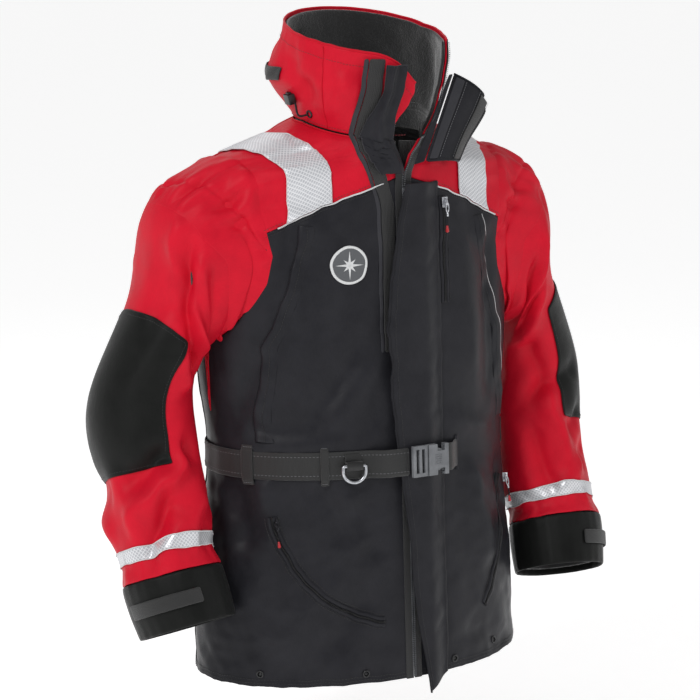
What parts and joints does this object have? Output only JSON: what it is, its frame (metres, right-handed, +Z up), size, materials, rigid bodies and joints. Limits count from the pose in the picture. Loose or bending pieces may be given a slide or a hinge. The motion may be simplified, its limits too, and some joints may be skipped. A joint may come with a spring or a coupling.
{
  "type": "foul weather jacket",
  "caption": "Thigh-length foul weather sailing jacket with a stand-up collar, storm flap, reflective tapes, reinforced elbows and cuffs, zipped pockets and a buckled belt.",
  "frame": {"origin": "the middle of the neck base, level with the side neck points", "axes": "+Z up, -Y the wearer's front, +X the wearer's left"},
  "size_m": [0.7794, 0.334, 0.9075],
  "materials": {
    "red_cloth": "woven, matt",
    "black_cloth": "woven, matt",
    "reinforcement": "heavy woven, matt",
    "lining": "fleece",
    "foam": "closed-cell foam",
    "webbing": "woven webbing",
    "reflective": "reflective mesh tape",
    "zip": "zip tape with coils",
    "buckle": "satin",
    "black_plastic": "satin",
    "metal": "satin",
    "badge": "matt"
  },
  "bodies": {
    "shell": {"front_yoke_right": "red_cloth", "front_yoke_left": "red_cloth", "front_panel_right": "black_cloth", "front_panel_left": "black_cloth", "back_yoke": "red_cloth", "back_panel": "black_cloth", "foam_front_right": "foam", "foam_front_left": "foam", "foam_back": "foam", "body_lining": "lining", "shoulder_tape_right": "reflective", "shoulder_tape_left": "reflective", "collar_shell": "red_cloth", "collar_lining": "lining", "cord_lock_body": "black_plastic", "collar_cord": "webbing", "zip_tape_right": "zip", "zip_tape_left": "zip", "loop_strip": "zip", "inner_flap": "black_cloth", "storm_flap": "black_cloth", "belt_webbing": "webbing", "belt_loop_front_right": "webbing", "belt_loop_side_right": "webbing", "belt_loop_back": "webbing", "belt_strap_left": "webbing", "buckle_female": "buckle", "d_ring_keeper": "webbing", "chest_zip": "zip", "pocket_zip_right": "zip", "pocket_zip_left": "zip", "badge": "badge"},
    "sleeve_right": {"sleeve_right": "red_cloth", "sleeve_lining_right": "lining", "elbow_patch_right": "reinforcement", "sleeve_tape_right": "reflective", "cuff_right": "reinforcement"},
    "cuff_tab_right": {"cuff_tab_right": "reinforcement"},
    "sleeve_left": {"sleeve_left": "red_cloth", "sleeve_lining_left": "lining", "elbow_patch_left": "reinforcement", "sleeve_tape_left": "reflective", "cuff_left": "reinforcement"},
    "cuff_tab_left": {"cuff_tab_left": "reinforcement"},
    "flap_top": {"storm_flap_top": "black_cloth", "hook_strip": "zip"},
    "main_slider": {"main_zip_slider": "metal", "main_zip_pull": "metal"},
    "chest_slider": {"chest_zip_slider": "metal"},
    "chest_pull": {"chest_zip_pull": "metal"},
    "pocket_slider_right": {"pocket_slider_right": "metal"},
    "pocket_pull_right": {"pocket_pull_right": "metal"},
    "pocket_slider_left": {"pocket_slider_left": "metal"},
    "pocket_pull_left": {"pocket_pull_left": "metal"},
    "d_ring": {"d_ring": "metal"},
    "buckle_male": {"buckle_male": "buckle"},
    "prong_upper": {"buckle_prong_upper": "buckle"},
    "prong_lower": {"buckle_prong_lower": "buckle"},
    "cord_lock_button": {"cord_lock_button": "black_plastic"},
    "collar_tab": {"collar_tab": "webbing"}
  },
  "joints": [
    {"name": "arm_lift_right", "type": "hinge", "parent": "shell", "child": "sleeve_right", "pos_m": [-0.2445, 0.008, -0.0555], "axis": [0, 1, 0], "range_deg": [0, 25]},
    {"name": "cuff_tab_right", "type": "hinge", "parent": "sleeve_right", "child": "cuff_tab_right", "pos_m": [-0.37095, -0.05623, -0.61901], "axis": [0.1901, -0.3748, -0.9074], "range_deg": [0, 100]},
    {"name": "arm_lift_left", "type": "hinge", "parent": "shell", "child": "sleeve_left", "pos_m": [0.2445, 0.008, -0.0555], "axis": [0, -1, 0], "range_deg": [0, 25]},
    {"name": "cuff_tab_left", "type": "hinge", "parent": "sleeve_left", "child": "cuff_tab_left", "pos_m": [0.37095, -0.05623, -0.61901], "axis": [0.1901, 0.3748, 0.9074], "range_deg": [0, 100]},
    {"name": "flap_top_fold", "type": "hinge", "parent": "shell", "child": "flap_top", "pos_m": [0.02505, -0.14034, -0.04796], "axis": [-0.5472, -0.4006, -0.7349], "range_deg": [-5, 100]},
    {"name": "main_zip", "type": "slide", "parent": "shell", "child": "main_slider", "axis": [0, -0.0516, -0.9987], "range_m": [0, 0.64]},
    {"name": "chest_zip", "type": "slide", "parent": "shell", "child": "chest_slider", "axis": [0.0005, -0.0461, -0.9989], "range_m": [0, 0.115]},
    {"name": "chest_pull_swing", "type": "hinge", "parent": "chest_slider", "child": "chest_pull", "pos_m": [0.06556, -0.13225, -0.10657], "axis": [-0.9864, -0.1642, 0.007], "range_deg": [0, 110]},
    {"name": "pocket_zip_right", "type": "hinge", "parent": "shell", "child": "pocket_slider_right", "pos_m": [-0.00244, -0.11142, -0.49507], "axis": [-0.1135, -0.9522, 0.2836], "range_deg": [0, 66]},
    {"name": "pocket_pull_swing_right", "type": "hinge", "parent": "pocket_slider_right", "child": "pocket_pull_right", "pos_m": [-0.18023, -0.10573, -0.51891], "axis": [-0.993, 0.1184, 0], "range_deg": [0, 100]},
    {"name": "pocket_zip_left", "type": "hinge", "parent": "shell", "child": "pocket_slider_left", "pos_m": [-0.24332, -0.08659, -0.44502], "axis": [-0.0425, 0.9591, -0.28], "range_deg": [0, 22]},
    {"name": "pocket_pull_swing_left", "type": "hinge", "parent": "pocket_slider_left", "child": "pocket_pull_left", "pos_m": [0.1919, -0.09251, -0.50285], "axis": [-0.999, -0.0443, 0], "range_deg": [0, 100]},
    {"name": "d_ring_swing", "type": "hinge", "parent": "shell", "child": "d_ring", "pos_m": [-0.08457, -0.14485, -0.44647], "axis": [-0.9689, 0.247, -0.013], "range_deg": [0, 150]},
    {"name": "buckle_release", "type": "slide", "parent": "shell", "child": "buckle_male", "axis": [-0.9989, -0.0462, 0.0024], "range_m": [0, 0.034]},
    {"name": "prong_squeeze_upper", "type": "hinge", "parent": "buckle_male", "child": "prong_upper", "pos_m": [0.01733, -0.1639, -0.43549], "axis": [-0.0463, 0.9976, -0.0515], "range_deg": [0, 6], "stiffness_Nm_per_rad": 0.5},
    {"name": "prong_squeeze_lower", "type": "hinge", "parent": "buckle_male", "child": "prong_lower", "pos_m": [0.01733, -0.16498, -0.45646], "axis": [0.0463, -0.9976, 0.0515], "range_deg": [0, 6], "stiffness_Nm_per_rad": 0.5},
    {"name": "cord_lock_press", "type": "slide", "parent": "shell", "child": "cord_lock_button", "axis": [0.2585, -0.0015, -0.966], "range_m": [0, 0.003], "stiffness_N_per_m": 400},
    {"name": "collar_tab_open", "type": "hinge", "parent": "shell", "child": "collar_tab", "pos_m": [-0.10684, -0.00726, 0.0569], "axis": [-0.1081, -0.0133, 0.9941], "range_deg": [0, 100]}
  ],
  "couplings": [
    {"joint": "prong_squeeze_lower", "follows": "prong_squeeze_upper", "ratio": 1}
  ]
}
